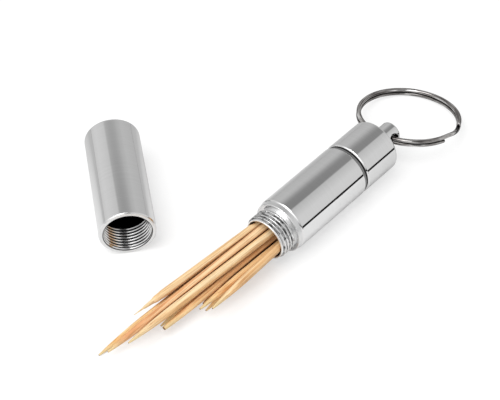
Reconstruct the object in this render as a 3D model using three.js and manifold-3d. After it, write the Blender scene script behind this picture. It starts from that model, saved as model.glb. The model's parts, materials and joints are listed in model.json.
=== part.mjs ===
// Pocket toothpick holder on a split ring, lying open: millimetres, +Z up, barrel along +X.
// The holder is laid out from its front shoulder at x = 0, and moved to its final origin at the end.
import * as THREE from 'three';
import Module from 'manifold-3d';

const wasm = await Module();
wasm.setup();

// Toothpicks: these two sizes drive the bore and the length of the holder.
const pickLength = 65;
const pickDiameter = 2.2;
const pickRadius = pickDiameter / 2;
const pickTipShare = 0.18;
const pickTaperLength = 15;
const pickPlay = 0.3;

// Screw threads: one form for the front cap and the tail cap, right-handed.
const threadPitch = 1;
const threadDepth = 0.4;
const threadCrestShare = 0.2;
const threadBaseShare = 0.74;
const threadClearance = 0.12;
const threadSideClearance = 0.1;
const threadStepsPerTurn = 20;
const threadRunOutSteps = 5;
const threadOverlap = 0.15;
const threadBuriedShare = threadOverlap / (threadOverlap + threadDepth) / 2;
const crestHalf = (threadPitch * threadCrestShare) / 2;
const baseHalf = (threadPitch * threadBaseShare) / 2;
const flankSlope = (baseHalf - crestHalf) / threadDepth;

// Radii, from the bore outwards.
const boreShare = 5;
const boreRadius = pickRadius * boreShare;
const neckWall = 0.4;
const neckRadius = boreRadius + neckWall;
const crestRadius = neckRadius + threadDepth;
const capBoreRadius = neckRadius + threadClearance;
const capRootRadius = crestRadius + threadClearance;
const capWall = 1.08;
const bodyRadius = capRootRadius + capWall;

// Lengths along the barrel.
const barrelShare = 0.389;
const barrelLength = pickLength * barrelShare;
const collarInset = 0.3;
const collarRadius = bodyRadius - collarInset;
const frontCollarLength = 1.5;
const rearCollarLength = 0.8;
const neckRelief = 0.7;
const frontThreadTurns = 4.1;
const rearThreadTurns = 5;
const neckTip = 0.5;
const frontNeckLength = neckRelief + frontThreadTurns * threadPitch + neckTip;
const rearNeckLength = neckRelief + rearThreadTurns * threadPitch + neckTip;
const mouthX = -frontCollarLength - frontNeckLength;
const rearCollarX = barrelLength + rearCollarLength;
const neckEndX = rearCollarX + rearNeckLength;
const edgeChamfer = 0.25;
const barrelChamfer = 0.2;

// Rubber seal in the tail seam.
const sealThickness = 0.4;
const sealGap = 0.04;
const sealInset = 0.3;
const sealStartX = rearCollarX + sealGap;
const sealEndX = sealStartX + sealThickness;
const sealInnerRadius = crestRadius + threadClearance;
const sealOuterRadius = bodyRadius - sealInset;

// Tail cap and its boss.
const tailStartX = sealEndX + sealGap;
const tailBottomRoom = 5;
const tailBottomX = neckEndX + tailBottomRoom;
const tailEndWall = 1.6;
const tailEndX = tailBottomX + tailEndWall;
const capEdgeRadius = 0.6;
const seamChamfer = 0.3;

// Split ring: two turns of flattened wire.
const ringOuterRadius = 14.6;
const wireWidth = 1.25;
const wireHeight = 1;
const wireCorner = 0.28;
const layerGap = 0.06;
const layerOffset = (wireHeight + layerGap) / 2;
const stackHalf = wireHeight + layerGap / 2;
const ringMidRadius = ringOuterRadius - wireWidth / 2;
const ringYaw = THREE.MathUtils.degToRad(9);
const ringRoll = THREE.MathUtils.degToRad(-6);
const kinkAngle = THREE.MathUtils.degToRad(-82.5);
const kinkHalf = THREE.MathUtils.degToRad(16);
const wireEndGap = THREE.MathUtils.degToRad(1.5);
const ringStepsPerTurn = 72;

// Boss and cross hole, sized so that the ring's wire runs through it.
const bossWall = 1.2;
const holeRoom = 0.09;
const seatDrop = 0.3;
const bossRootLand = 2.7;
const bossTipLand = 0.85;
const bossReach = 3;
const wireBow = bossReach ** 2 / (2 * ringMidRadius);
const wireSwerve = bossReach * Math.sin(ringYaw);
const holeRadius = Math.hypot(wireWidth / 2 + wireSwerve, stackHalf + seatDrop) + holeRoom;
const bossRadius = holeRadius + bossWall;
const holeX = tailEndX + bossRootLand + holeRadius;
const bossEndX = holeX + holeRadius + bossTipLand;
const bossEdgeRadius = 0.5;
const bossFillet = 0.3;

// Front cap: its length is the room for the picks that stand out of the mouth.
const capEndWall = 1.25;
const capTipRoom = 7.4;
const frontCapDepth = pickLength + capTipRoom + pickPlay - (tailBottomX + frontCollarLength);
const frontCapLength = frontCapDepth + capEndWall;
const frontCapThreadTurns = 7.5;
const openThreadTurns = 0.5;
const tailSpareTurns = 1;
const mouthLeadIn = 0.45;
const rimChamfer = 0.3;

// Where the front cap lies: its mouth's centre and the way that it points, in plan.
const capMouthX = -28.27;
const capMouthY = 27.54;
const capYaw = THREE.MathUtils.degToRad(51.47);

const bodySegments = 40;
const boreSegments = 40;
const bossSegments = 32;
const edgeSteps = 3;
const pickSides = 12;

// Each toothpick's line: sideways and upward offset from the bore's axis at the mouth and at the tail,
// in pick diameters, the share of its length that stands out of the mouth, and its tip's share of the radius.
const pickLineShares = [
  [1.9133, -0.5026, -0.2526, 1.9381, 0.784, 0.18],
  [0.8199, 0.8637, -1.5011, 3.7868, 0.7693, 0.18],
  [-0.1779, 0.576, -2.3828, 2.6271, 0.6988, 0.18],
  [1.8929, 0.534, -0.9774, 2.8637, 0.5922, 0.14],
  [1.3434, -1.4519, 0.4828, 0.7819, 0.5252, 0.18],
  [-0.0745, -0.8973, -1.2195, 0.5219, 0.5462, 0.5],
  [-1.1871, -0.975, -1.9683, -0.5297, 0.4009, 0.2],
  [-0.6571, -1.8654, -0.6124, -0.7657, 0.367, 0.2],
  [-1.9242, -0.2304, -1.8282, 0.7921, 0.3767, 0.2],
  [0.3684, -1.9432, 0.4202, -0.5732, 0.345, 0.2],
];

const materials = {
  aluminium: { color: 0xc9cbcd, metalness: 1, roughness: 0.22 },
  rubber: { color: 0x17181a, metalness: 0, roughness: 0.7 },
  gunmetal: { color: 0x4c4e52, metalness: 1, roughness: 0.3 },
  bamboo: { color: 0xd9b27c, metalness: 0, roughness: 0.65 },
};

// Welds a geometry's corners and returns it as a solid with outward faces.
function solidFrom(geometry) {
  const flat = geometry.index ? geometry.toNonIndexed() : geometry;
  const places = flat.getAttribute('position');
  const weldGrid = 1e5;
  const seen = new Map();
  const points = [];
  const corners = [];
  for (let i = 0; i < places.count; i += 1) {
    const point = [places.getX(i), places.getY(i), places.getZ(i)];
    const key = point.map((value) => Math.round(value * weldGrid)).join();
    if (!seen.has(key)) {
      seen.set(key, points.length);
      points.push(point);
    }
    corners.push(seen.get(key));
  }
  const triangles = [];
  let volume = 0;
  for (let i = 0; i < corners.length; i += 3) {
    const [a, b, c] = corners.slice(i, i + 3);
    if (a !== b && b !== c && c !== a) {
      triangles.push([a, b, c]);
      const [p, q, r] = [a, b, c].map((k) => new THREE.Vector3(...points[k]));
      volume += p.dot(q.cross(r));
    }
  }
  const facing = volume < 0 ? triangles.map(([a, b, c]) => [a, c, b]) : triangles;
  const mesh = new wasm.Mesh({
    numProp: 3,
    vertProperties: new Float32Array(points.flat()),
    triVerts: new Uint32Array(facing.flat()),
  });
  mesh.merge();
  return new wasm.Manifold(mesh);
}

// Turns a solid back into a geometry.
function geometryFrom(solid) {
  const mesh = solid.getMesh();
  const places = [];
  for (let i = 0; i < mesh.vertProperties.length; i += mesh.numProp) {
    places.push(...mesh.vertProperties.slice(i, i + 3));
  }
  const geometry = new THREE.BufferGeometry();
  geometry.setAttribute('position', new THREE.Float32BufferAttribute(places, 3));
  geometry.setIndex(Array.from(mesh.triVerts));
  geometry.computeVertexNormals();
  return geometry;
}

// Revolves a profile of [x, radius] pairs about the X axis.
function revolved(profile, segments) {
  const points = profile.map(([x, radius]) => new THREE.Vector2(radius, x));
  const geometry = new THREE.LatheGeometry(points, segments);
  geometry.deleteAttribute('uv');
  geometry.deleteAttribute('normal');
  geometry.rotateZ(-Math.PI / 2);
  return geometry;
}

// Corner points of a rounded outer edge, from the side of the body to its end face.
function roundedEdge(faceX, radius, edgeRadius, direction) {
  const corner = [];
  for (let i = 0; i <= edgeSteps; i += 1) {
    const angle = (Math.PI / 2) * (i / edgeSteps);
    const x = faceX - direction * edgeRadius * (1 - Math.sin(angle));
    corner.push([x, radius - edgeRadius * (1 - Math.cos(angle))]);
  }
  return corner;
}

// Helical ridge with a four-sided section, fading into the wall at the ends that ask for it.
function helicalRidge(startX, turns, section, fades) {
  const { innerRadius, outerRadius, innerHalf, outerHalf } = section;
  const steps = Math.round(turns * threadStepsPerTurn);
  const firstStep = Math.round((threadStepsPerTurn * startX) / threadPitch);
  const rings = [];
  for (let i = 0; i <= steps; i += 1) {
    const angle = (2 * Math.PI * (firstStep + i)) / threadStepsPerTurn;
    const x = (threadPitch * angle) / (2 * Math.PI);
    const fadeIn = fades.start ? i / threadRunOutSteps : 1;
    const fadeOut = fades.end ? (steps - i) / threadRunOutSteps : 1;
    const rise = Math.max(Math.min(fadeIn, fadeOut, 1), threadBuriedShare);
    const top = innerRadius + (outerRadius - innerRadius) * rise;
    const half = innerHalf + (outerHalf - innerHalf) * rise;
    rings.push([[x - innerHalf, innerRadius], [x - half, top], [x + half, top], [x + innerHalf, innerRadius]]
      .map(([along, radius]) => [along, radius * Math.cos(angle), radius * Math.sin(angle)]));
  }
  return sweptSolid(rings);
}

// Joins a row of equal closed sections into one closed solid.
function sweptSolid(rings) {
  const corners = [];
  const sides = rings[0].length;
  for (let i = 0; i + 1 < rings.length; i += 1) {
    for (let j = 0; j < sides; j += 1) {
      const next = (j + 1) % sides;
      const [a, b, c, d] = [rings[i][j], rings[i][next], rings[i + 1][next], rings[i + 1][j]];
      corners.push(...a, ...b, ...c, ...a, ...c, ...d);
    }
  }
  const last = rings[rings.length - 1];
  for (let j = 1; j + 1 < sides; j += 1) {
    corners.push(...rings[0][0], ...rings[0][j + 1], ...rings[0][j]);
    corners.push(...last[0], ...last[j], ...last[j + 1]);
  }
  const geometry = new THREE.BufferGeometry();
  geometry.setAttribute('position', new THREE.Float32BufferAttribute(corners, 3));
  return solidFrom(geometry);
}

// Outer thread on a neck: the ridge stands on the neck's wall.
function outerThread(startX, turns) {
  const section = {
    innerRadius: neckRadius - threadOverlap,
    outerRadius: crestRadius,
    innerHalf: baseHalf + flankSlope * threadOverlap,
    outerHalf: crestHalf,
  };
  return helicalRidge(startX, turns, section, { start: true, end: true });
}

// Tool for an inner thread: the outer thread's form with the clearances added all round.
function innerThreadTool(startX, turns, fades) {
  const section = {
    innerRadius: capBoreRadius - threadOverlap,
    outerRadius: capRootRadius,
    innerHalf: baseHalf + threadSideClearance - flankSlope * (threadClearance - threadOverlap),
    outerHalf: crestHalf + threadSideClearance - flankSlope * threadClearance,
  };
  return helicalRidge(startX, turns, section, fades);
}

// Barrel: polished tube with a collar and a threaded neck at either end.
function barrelSolid() {
  const profile = [
    [mouthX, boreRadius + edgeChamfer / 2],
    [mouthX, neckRadius - edgeChamfer / 2],
    [mouthX + edgeChamfer, neckRadius],
    [-frontCollarLength, neckRadius],
    [-frontCollarLength, collarRadius - edgeChamfer],
    [-frontCollarLength + edgeChamfer, collarRadius],
    [-barrelChamfer / 2, collarRadius],
    [0, collarRadius + edgeChamfer / 2],
    [barrelChamfer, bodyRadius],
    [barrelLength - barrelChamfer, bodyRadius],
    [barrelLength, collarRadius + edgeChamfer / 2],
    [barrelLength + barrelChamfer / 2, collarRadius],
    [rearCollarX - edgeChamfer, collarRadius],
    [rearCollarX, collarRadius - edgeChamfer],
    [rearCollarX, neckRadius],
    [neckEndX - edgeChamfer, neckRadius],
    [neckEndX, neckRadius - edgeChamfer / 2],
    [neckEndX, boreRadius + edgeChamfer / 2],
    [neckEndX - edgeChamfer, boreRadius],
    [mouthX + edgeChamfer, boreRadius],
    [mouthX, boreRadius + edgeChamfer / 2],
  ];
  const tube = solidFrom(revolved(profile, bodySegments));
  const front = outerThread(mouthX + neckTip, frontThreadTurns);
  const rear = outerThread(rearCollarX + neckRelief, rearThreadTurns);
  return tube.add(front).add(rear);
}

// Seal: a flat rubber ring between the rear collar and the tail cap.
function sealSolid() {
  const corner = sealThickness / 4;
  const profile = [
    [sealStartX, sealInnerRadius],
    [sealStartX, sealOuterRadius - corner],
    [sealStartX + corner, sealOuterRadius],
    [sealEndX - corner, sealOuterRadius],
    [sealEndX, sealOuterRadius - corner],
    [sealEndX, sealInnerRadius],
    [sealStartX, sealInnerRadius],
  ];
  return solidFrom(revolved(profile, bodySegments));
}

// Tail cap: hollow, threaded inside at its mouth, with the boss for the ring on its closed end.
function tailCapSolid() {
  const outer = [
    [tailStartX, 0],
    [tailStartX, bodyRadius - seamChamfer],
    [tailStartX + seamChamfer, bodyRadius],
    ...roundedEdge(tailEndX, bodyRadius, capEdgeRadius, 1),
    [tailEndX, bossRadius + bossFillet],
    [tailEndX + bossFillet, bossRadius],
    ...roundedEdge(bossEndX, bossRadius, bossEdgeRadius, 1),
    [bossEndX, 0],
  ];
  const hollow = [
    [tailStartX - threadPitch, 0],
    [tailStartX - threadPitch, capRootRadius],
    [tailStartX, capRootRadius],
    [tailStartX + mouthLeadIn, capBoreRadius],
    [tailBottomX, capBoreRadius],
    [tailBottomX, 0],
  ];
  const holeLength = 2 * (bossRadius + holeRadius);
  const hole = new THREE.CylinderGeometry(holeRadius, holeRadius, holeLength, bossSegments);
  hole.rotateX(ringRoll);
  hole.translate(holeX, 0, 0);
  const turns = rearThreadTurns + openThreadTurns + tailSpareTurns;
  return solidFrom(revolved(outer, bodySegments))
    .subtract(solidFrom(revolved(hollow, boreSegments)))
    .subtract(innerThreadTool(tailStartX - openThreadTurns * threadPitch, turns, { start: false, end: true }))
    .subtract(solidFrom(hole));
}

// Front cap, built as if screwed on: its mouth on the front collar, its closed end towards -X.
function frontCapSolid() {
  const seatX = -frontCollarLength;
  const outer = [
    [seatX - frontCapLength, 0],
    ...roundedEdge(seatX - frontCapLength, bodyRadius, capEdgeRadius, -1).reverse(),
    [seatX - rimChamfer, bodyRadius],
    [seatX, bodyRadius - rimChamfer],
    [seatX, 0],
  ];
  const hollow = [
    [seatX - frontCapDepth, 0],
    [seatX - frontCapDepth, capBoreRadius],
    [seatX - mouthLeadIn, capBoreRadius],
    [seatX, capRootRadius],
    [seatX + threadPitch, capRootRadius],
    [seatX + threadPitch, 0],
  ];
  const startX = seatX - frontCapThreadTurns * threadPitch;
  const turns = frontCapThreadTurns + openThreadTurns;
  return solidFrom(revolved(outer, bodySegments))
    .subtract(solidFrom(revolved(hollow, boreSegments)))
    .subtract(innerThreadTool(startX, turns, { start: true, end: false }));
}

// Split ring: upper turn, kink down to the lower turn, lower turn, in the ring's own plane.
function ringRings() {
  const first = kinkAngle + kinkHalf + wireEndGap;
  const last = kinkAngle + 4 * Math.PI - kinkHalf - wireEndGap;
  const steps = Math.round((ringStepsPerTurn * (last - first)) / (2 * Math.PI));
  const kinkStart = kinkAngle + 2 * Math.PI - kinkHalf;
  const [w, h, c] = [wireWidth / 2, wireHeight / 2, wireCorner];
  const section = [[-w, -h + c], [-w, h - c], [-w + c, h], [w - c, h], [w, h - c], [w, -h + c], [w - c, -h],
    [-w + c, -h]];
  const rings = [];
  for (let i = 0; i <= steps; i += 1) {
    const angle = first + ((last - first) * i) / steps;
    const share = THREE.MathUtils.smoothstep(angle, kinkStart, kinkStart + 2 * kinkHalf);
    const height = layerOffset * (1 - 2 * share);
    rings.push(section.map(([out, up]) => {
      const radius = ringMidRadius + out;
      return [radius * Math.cos(angle), radius * Math.sin(angle), height + up];
    }));
  }
  return rings;
}

// Ring's place: through the boss's hole, which is rolled a little, its far side resting on the floor.
function ringPlacement() {
  const centreAlong = ringMidRadius * Math.cos(ringYaw) - wireBow;
  const centreAcross = ringMidRadius * Math.sin(ringYaw);
  const drop = seatDrop + stackHalf;
  const halvings = 40;
  let tilt = 0;
  let step = Math.PI / 8;
  for (let i = 0; i < halvings; i += 1) {
    const centreDrop = centreAlong * Math.sin(tilt + step) + drop * Math.cos(tilt + step);
    const edgeDrop = ringOuterRadius * Math.hypot(Math.sin(tilt + step) * Math.cos(ringRoll), Math.sin(ringRoll));
    const lowest = centreAcross * Math.sin(ringRoll) - centreDrop * Math.cos(ringRoll) - edgeDrop;
    if (lowest > -bodyRadius) {
      tilt += step;
    }
    step /= 2;
  }
  const local = new THREE.Matrix4().makeTranslation(centreAlong, centreAcross, -seatDrop);
  const lean = new THREE.Matrix4().makeRotationY(tilt);
  const roll = new THREE.Matrix4().makeRotationX(ringRoll);
  return new THREE.Matrix4().makeTranslation(holeX, 0, 0).multiply(roll).multiply(lean).multiply(local);
}

// Toothpick along +X from its tip, pointed at both ends.
function pickGeometry(tipShare) {
  const tipRadius = pickRadius * tipShare;
  const tailRadius = pickRadius * pickTipShare;
  const lengthShares = [0, 0.05, 0.25, 0.55, 1];
  const radiusShares = [0, 0.12, 0.5, 0.8, 1];
  const profile = [[0, 0]];
  lengthShares.forEach((share, i) => {
    profile.push([share * pickTaperLength, tipRadius + (pickRadius - tipRadius) * radiusShares[i]]);
  });
  lengthShares.slice().reverse().forEach((share, i) => {
    const radius = tailRadius + (pickRadius - tailRadius) * radiusShares[radiusShares.length - 1 - i];
    profile.push([pickLength - share * pickTaperLength, radius]);
  });
  profile.push([pickLength, 0]);
  return revolved(profile, pickSides);
}

// Toothpick's place: its line through the mouth and the tail, with its tip out of the mouth.
function pickPlacement([mouthSide, mouthUp, tailSide, tailUp, outShare]) {
  const mouth = new THREE.Vector3(mouthX, mouthSide * pickDiameter, mouthUp * pickDiameter);
  const tail = new THREE.Vector3(tailBottomX, tailSide * pickDiameter, tailUp * pickDiameter);
  const way = tail.clone().sub(mouth).normalize();
  const tip = mouth.clone().addScaledVector(way, -outShare * pickLength);
  const turn = new THREE.Quaternion().setFromUnitVectors(new THREE.Vector3(1, 0, 0), way);
  return new THREE.Matrix4().compose(tip, turn, new THREE.Vector3(1, 1, 1));
}

// Adds one named mesh with its own material, placed and with the floor at z = 0.
function addPiece(group, name, geometry, placement, material) {
  geometry.applyMatrix4(placement);
  geometry.translate(0, 0, bodyRadius);
  geometry.computeVertexNormals();
  const mesh = new THREE.Mesh(geometry, new THREE.MeshStandardMaterial(materials[material]));
  mesh.name = name;
  group.add(mesh);
}

// Moves every piece so that the origin is at the centre of the whole object's base.
function setOrigin(group) {
  const box = new THREE.Box3().setFromObject(group);
  const middle = box.getCenter(new THREE.Vector3());
  group.children.forEach((mesh) => mesh.geometry.translate(-middle.x, -middle.y, -box.min.z));
}

function buildHolder() {
  const group = new THREE.Group();
  const still = new THREE.Matrix4();
  addPiece(group, 'barrel', geometryFrom(barrelSolid()), still, 'aluminium');
  addPiece(group, 'tail_seal', geometryFrom(sealSolid()), still, 'rubber');
  addPiece(group, 'tail_cap', geometryFrom(tailCapSolid()), still, 'aluminium');
  const laid = new THREE.Matrix4().makeTranslation(capMouthX, capMouthY, 0)
    .multiply(new THREE.Matrix4().makeRotationZ(capYaw + Math.PI))
    .multiply(new THREE.Matrix4().makeTranslation(frontCollarLength, 0, 0));
  addPiece(group, 'front_cap', geometryFrom(frontCapSolid()), laid, 'aluminium');
  addPiece(group, 'key_ring', geometryFrom(sweptSolid(ringRings())), ringPlacement(), 'gunmetal');
  pickLineShares.forEach((line, i) => {
    const name = `toothpick_${String(i + 1).padStart(2, '0')}`;
    const tipShare = line[line.length - 1];
    const solid = solidFrom(pickGeometry(tipShare));
    addPiece(group, name, geometryFrom(solid), pickPlacement(line), 'bamboo');
  });
  setOrigin(group);
  return group;
}

export default buildHolder();
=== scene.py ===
# Looks of the open pocket toothpick holder: turned and polished metal, a dark split ring, bamboo picks.
import json
import math

import bmesh
import bpy
from mathutils import Matrix, Vector, noise


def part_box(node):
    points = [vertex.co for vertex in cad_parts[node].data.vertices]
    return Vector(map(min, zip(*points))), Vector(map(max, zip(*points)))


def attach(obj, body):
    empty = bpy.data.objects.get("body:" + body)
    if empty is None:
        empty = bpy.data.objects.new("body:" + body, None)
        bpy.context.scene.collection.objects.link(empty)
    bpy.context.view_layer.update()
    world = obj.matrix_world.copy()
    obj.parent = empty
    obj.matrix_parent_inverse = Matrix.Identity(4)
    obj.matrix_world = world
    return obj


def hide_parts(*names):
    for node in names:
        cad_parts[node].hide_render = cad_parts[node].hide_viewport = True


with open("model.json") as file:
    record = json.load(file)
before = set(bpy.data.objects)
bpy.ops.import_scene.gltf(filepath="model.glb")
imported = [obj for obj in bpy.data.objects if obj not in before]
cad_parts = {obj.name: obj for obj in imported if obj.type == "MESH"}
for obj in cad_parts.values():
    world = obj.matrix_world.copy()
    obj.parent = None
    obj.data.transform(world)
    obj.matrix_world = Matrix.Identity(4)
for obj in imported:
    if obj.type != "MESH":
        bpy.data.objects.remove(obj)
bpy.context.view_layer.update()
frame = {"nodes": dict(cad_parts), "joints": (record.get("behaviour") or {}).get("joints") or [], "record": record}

# Lengths below are in millimetres, and MM turns them into metres.
MM = 0.001
X, Y, Z = 0, 1, 2

# Screw thread: one form for both ends, right-handed, with its first crest at angle zero. It runs out to
# nothing over RUN_OUT, and LEAST_STEP keeps the points of its outline in order along x.
THREAD_PITCH = 1.0
THREAD_DEPTH = 0.4
CREST_HALF = 0.1
BASE_HALF = 0.37
CREST_ROUNDING = 0.07
BASE_ROUNDING = 0.06
THREAD_CORNER_STEPS = 2
LEAST_STEP = 0.002
CAP_CREST_HALF = 0.119
CAP_BASE_HALF = 0.389
RUN_OUT = 0.25

# Turned pieces, laid out along x from the front shoulder, with the axis at radius zero.
BORE_RADIUS = 5.5
NECK_RADIUS = 5.9
CAP_BORE_RADIUS = 6.02
COLLAR_INSET = 0.3
NECK_LENGTH = 5.3
FRONT_COLLAR = 1.5
REAR_COLLAR = 0.8
NECK_RELIEF = 0.7
NECK_TIP = 0.5
FRONT_THREAD = 4.1
REAR_THREAD = 5.0
SHOULDER_CHAMFER = 0.2
SHOULDER_RISE = 0.125
SEAM_CHAMFER = 0.3
CAP_EDGE = 0.6
RIM_CHAMFER = 0.3
LEAD_IN = 0.45
TAIL_EXTRA_TURNS = 1.5
TAIL_BOTTOM_ROOM = 5.0
TAIL_END_WALL = 1.6
FRONT_CAP_DEPTH = 33.915
FRONT_CAP_LENGTH = 35.165
FRONT_CAP_THREAD = 7.5
SEAL_GAP = 0.12
SMALL_FILLET = 0.1
EDGE_FILLET = 0.2
FLOOR_FILLET = 0.5

# Where the painted light and shade of the materials begin and end along x, measured from edges of the pieces.
# OUTSIDE is well past an edge, and FLOOR_SKIN is just past the floor of a hollow.
OUTSIDE = 1.0
FLOOR_SKIN = 0.1
LIP_LENGTH = 0.45
RECESS_FADES = (0.1, 0.05)
TAIL_ROOTS_LENGTH = 6.5
TAIL_FADES = (1, 7)
CAP_ROOTS_LENGTH = 8.5
CAP_FADES = (5, 9)

# Boss with its cross hole. Its wall is left open over a patch round each end of the hole, and rings of
# faces fill the patch from its border to the hole's rounded rim.
BOSS_RADIUS = 3.012
BOSS_EDGE = 0.5
BOSS_FILLET = 0.3
HOLE_RADIUS = 1.812
HOLE_ROUNDING = 0.16
PATCH_REACH = 2.1
PATCH_RINGS = 12
PATCH_HALF_COLUMNS = 25
PATCH_STEPS = 4
ROUNDING_STEPS = 5

# Split ring: two turns of flattened wire, one above the other, with a kink between them. It sits in the
# hole with a yaw and a drop, and RING_REACH is half the hole's length, over which the ring's curve bows.
RING_OUTER = 14.6
WIRE_WIDTH = 1.25
WIRE_HEIGHT = 1.0
WIRE_ROUNDING = 0.47
WIRE_CORNER_STEPS = 8
WIRE_END_LENGTH = 0.12
WIRE_END_SIZES = [(0, 0.8), (1 / 3, 0.92), (1, 1)]
LAYER_OFFSET = 0.53
KINK_ANGLE = math.radians(-82.5)
KINK_HALF = math.radians(16)
WIRE_END_GAP = math.radians(1.5)
RING_YAW = math.radians(9)
RING_DROP = 0.3
RING_REACH = 3.0
RING_STEPS = 420
TILT_STEP = math.pi / 8
TILT_HALVINGS = 40

# Toothpicks. Their rings crowd towards both ends, and their surface is dented by noise.
PICK_RADIUS = 1.08
PICK_TAIL_RADIUS = 0.2
PICK_TAPER = 15.0
PICK_FULLNESS = 1.9
PICK_SLOPE = 0.9
PICK_SIDES = 28
PICK_RINGS = 90
PICK_CROWDING = 0.7
PICK_DENT = 0.035
DENTS_ALONG = 0.09
DENTS_ROUND = 1.3
DENTS_APART = 9
END_TOLERANCE = 0.02
BAMBOO_SEED_STEP = 3.7

# The pick whose point is split down to a needle: its radius by distance from the tip.
NEEDLE_PICK = 4
NEEDLE_STOPS = [(0, 0.08), (2.6, 0.2), (3.6, 0.42), (5.3, 0.56), (7.2, 0.94), (10, 1.08)]

# Turned meshes: columns round the axis, steps in a rounded corner, and the distance from a rounded
# corner to the close point on either side of it.
COLUMNS = 180
CORNER_STEPS = 4
FINE_CORNER_STEPS = 6
SUPPORT = 0.05
SHARP_ANGLE = math.radians(38)


def rounded(corners, steps=CORNER_STEPS):
    """Points through (x, radius, fillet) corners, each an arc with a close point on either side."""
    points = [Vector(corners[0][:2])]
    for before, corner, after in zip(corners, corners[1:], corners[2:]):
        here = Vector(corner[:2])
        way_in = (here - Vector(before[:2])).normalized()
        way_out = (Vector(after[:2]) - here).normalized()
        turn = way_in.angle_signed(way_out)
        fillet = corner[2] if len(corner) > 2 else 0
        reach = fillet * math.tan(abs(turn) / 2)
        if reach == 0:
            points.append(here)
            continue
        start = here - way_in * reach
        inward = Vector((way_in.y, -way_in.x)) * math.copysign(1, turn)
        centre = start + inward * fillet
        points.append(start - way_in * SUPPORT)
        for i in range(steps + 1):
            angle = -turn * i / steps
            out = -inward * fillet
            points.append(centre + Vector((
                out.x * math.cos(angle) - out.y * math.sin(angle),
                out.x * math.sin(angle) + out.y * math.cos(angle),
            )))
        points.append(here + way_out * (reach + SUPPORT))
    points.append(Vector(corners[-1][:2]))
    return [(p.x, p.y) for p in points]


def thread_section(base_half, crest_half, depth):
    """One thread's outline as (distance from its centre, share of its depth)."""
    corners = [
        (-THREAD_PITCH / 2, 0),
        (-base_half, 0, BASE_ROUNDING),
        (-crest_half, depth, CREST_ROUNDING),
        (crest_half, depth, CREST_ROUNDING),
        (base_half, 0, BASE_ROUNDING),
        (THREAD_PITCH / 2, 0),
    ]
    flanks = rounded(corners, THREAD_CORNER_STEPS)[2:-2]
    return [(x, height / depth) for x, height in flanks]


class Thread:
    """A stretch of a turned surface with a helical thread on it.

    Walls are the places where the stretch begins and ends, reach is where the thread does, and fades
    says at which ends the thread runs out inside the stretch. A lead-in gives the least radius at x.
    """

    def __init__(self, walls, reach, radius, inner=False, fades=(True, True), lead_in=None):
        self.walls = walls
        self.reach = reach
        self.radius = radius
        self.fades = fades
        self.lead_in = lead_in
        halves = (CAP_BASE_HALF, CAP_CREST_HALF) if inner else (BASE_HALF, CREST_HALF)
        self.section = thread_section(*halves, THREAD_DEPTH)
        low, high = walls
        start, end = reach
        self.first = math.floor((start if fades[0] else low - halves[0]) / THREAD_PITCH)
        self.last = math.floor(end / THREAD_PITCH)
        if not fades[1]:
            self.last = math.ceil((high + halves[0]) / THREAD_PITCH) - 1
        self.slots = self.last - self.first + 1
        self.size = self.slots * len(self.section)

    def height(self, centre):
        """Share of the full depth that the thread has at that place along the axis."""
        share = 1.0
        if self.fades[0]:
            share = min(share, (centre - self.reach[0]) / RUN_OUT)
        if self.fades[1]:
            share = min(share, (self.reach[1] - centre) / RUN_OUT)
        return max(share, 0.0)

    def line(self, turn):
        """Points of the thread's outline at that share of a turn, in order along x."""
        points = []
        low, high = self.walls
        for slot in range(self.slots):
            centre = THREAD_PITCH * (turn + self.first + slot)
            height = self.height(centre)
            for offset, share in self.section:
                index = len(points) + 1
                x = max(centre + offset, low + LEAST_STEP * index)
                x = min(x, high - LEAST_STEP * (self.size + 1 - index))
                radius = self.radius + THREAD_DEPTH * share * height
                if self.lead_in:
                    radius = max(radius, self.lead_in(x))
                points.append((x, radius))
        return points


def wrap_pairs(stretches):
    """Point pairs that join the last line of a turned mesh to its first, one thread slot further on."""
    pairs = []
    offset = 0
    for stretch in stretches:
        if isinstance(stretch, Thread):
            step = len(stretch.section)
            pairs += [(offset + i, offset + i + step) for i in range(stretch.size - step)]
            offset += stretch.size
        else:
            pairs += [(offset + i, offset + i) for i in range(len(stretch))]
            offset += len(stretch)
    return pairs, offset


def turned_mesh(stretches, poles, skip=None):
    """Turns a profile about x. With poles, its two ends are on the axis; otherwise it closes on itself.

    Skip says which faces are left out, by their column and the number of their first point.
    """
    bm = bmesh.new()
    lines = []
    for column in range(COLUMNS):
        turn = column / COLUMNS
        angle = 2 * math.pi * turn
        points = []
        for stretch in stretches:
            points += stretch.line(turn) if isinstance(stretch, Thread) else stretch
        places = [(x, r * math.cos(angle), r * math.sin(angle)) for x, r in points]
        lines.append([bm.verts.new(Vector(p) * MM) for p in places])
    wrapped, count = wrap_pairs(stretches)
    straight = [(i, i) for i in range(count)]
    ends = []
    if poles:
        first, last = stretches[0][0][0], stretches[-1][-1][0]
        ends = [bm.verts.new((first * MM, 0, 0)), bm.verts.new((last * MM, 0, 0))]
    for column in range(COLUMNS):
        here, there = lines[column], lines[(column + 1) % COLUMNS]
        pairs = wrapped if column == COLUMNS - 1 else straight
        for (a, b), (c, d) in zip(pairs, pairs[1:]):
            if skip and skip(column, a):
                continue
            bm.faces.new(here[a:c + 1] + there[b:d + 1][::-1])
        if poles:
            bm.faces.new((ends[0], there[0], here[0]))
            bm.faces.new((ends[1], here[-1], there[-1]))
        else:
            bm.faces.new((here[-1], here[0], there[0], there[-1]))
    return bm, lines


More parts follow.
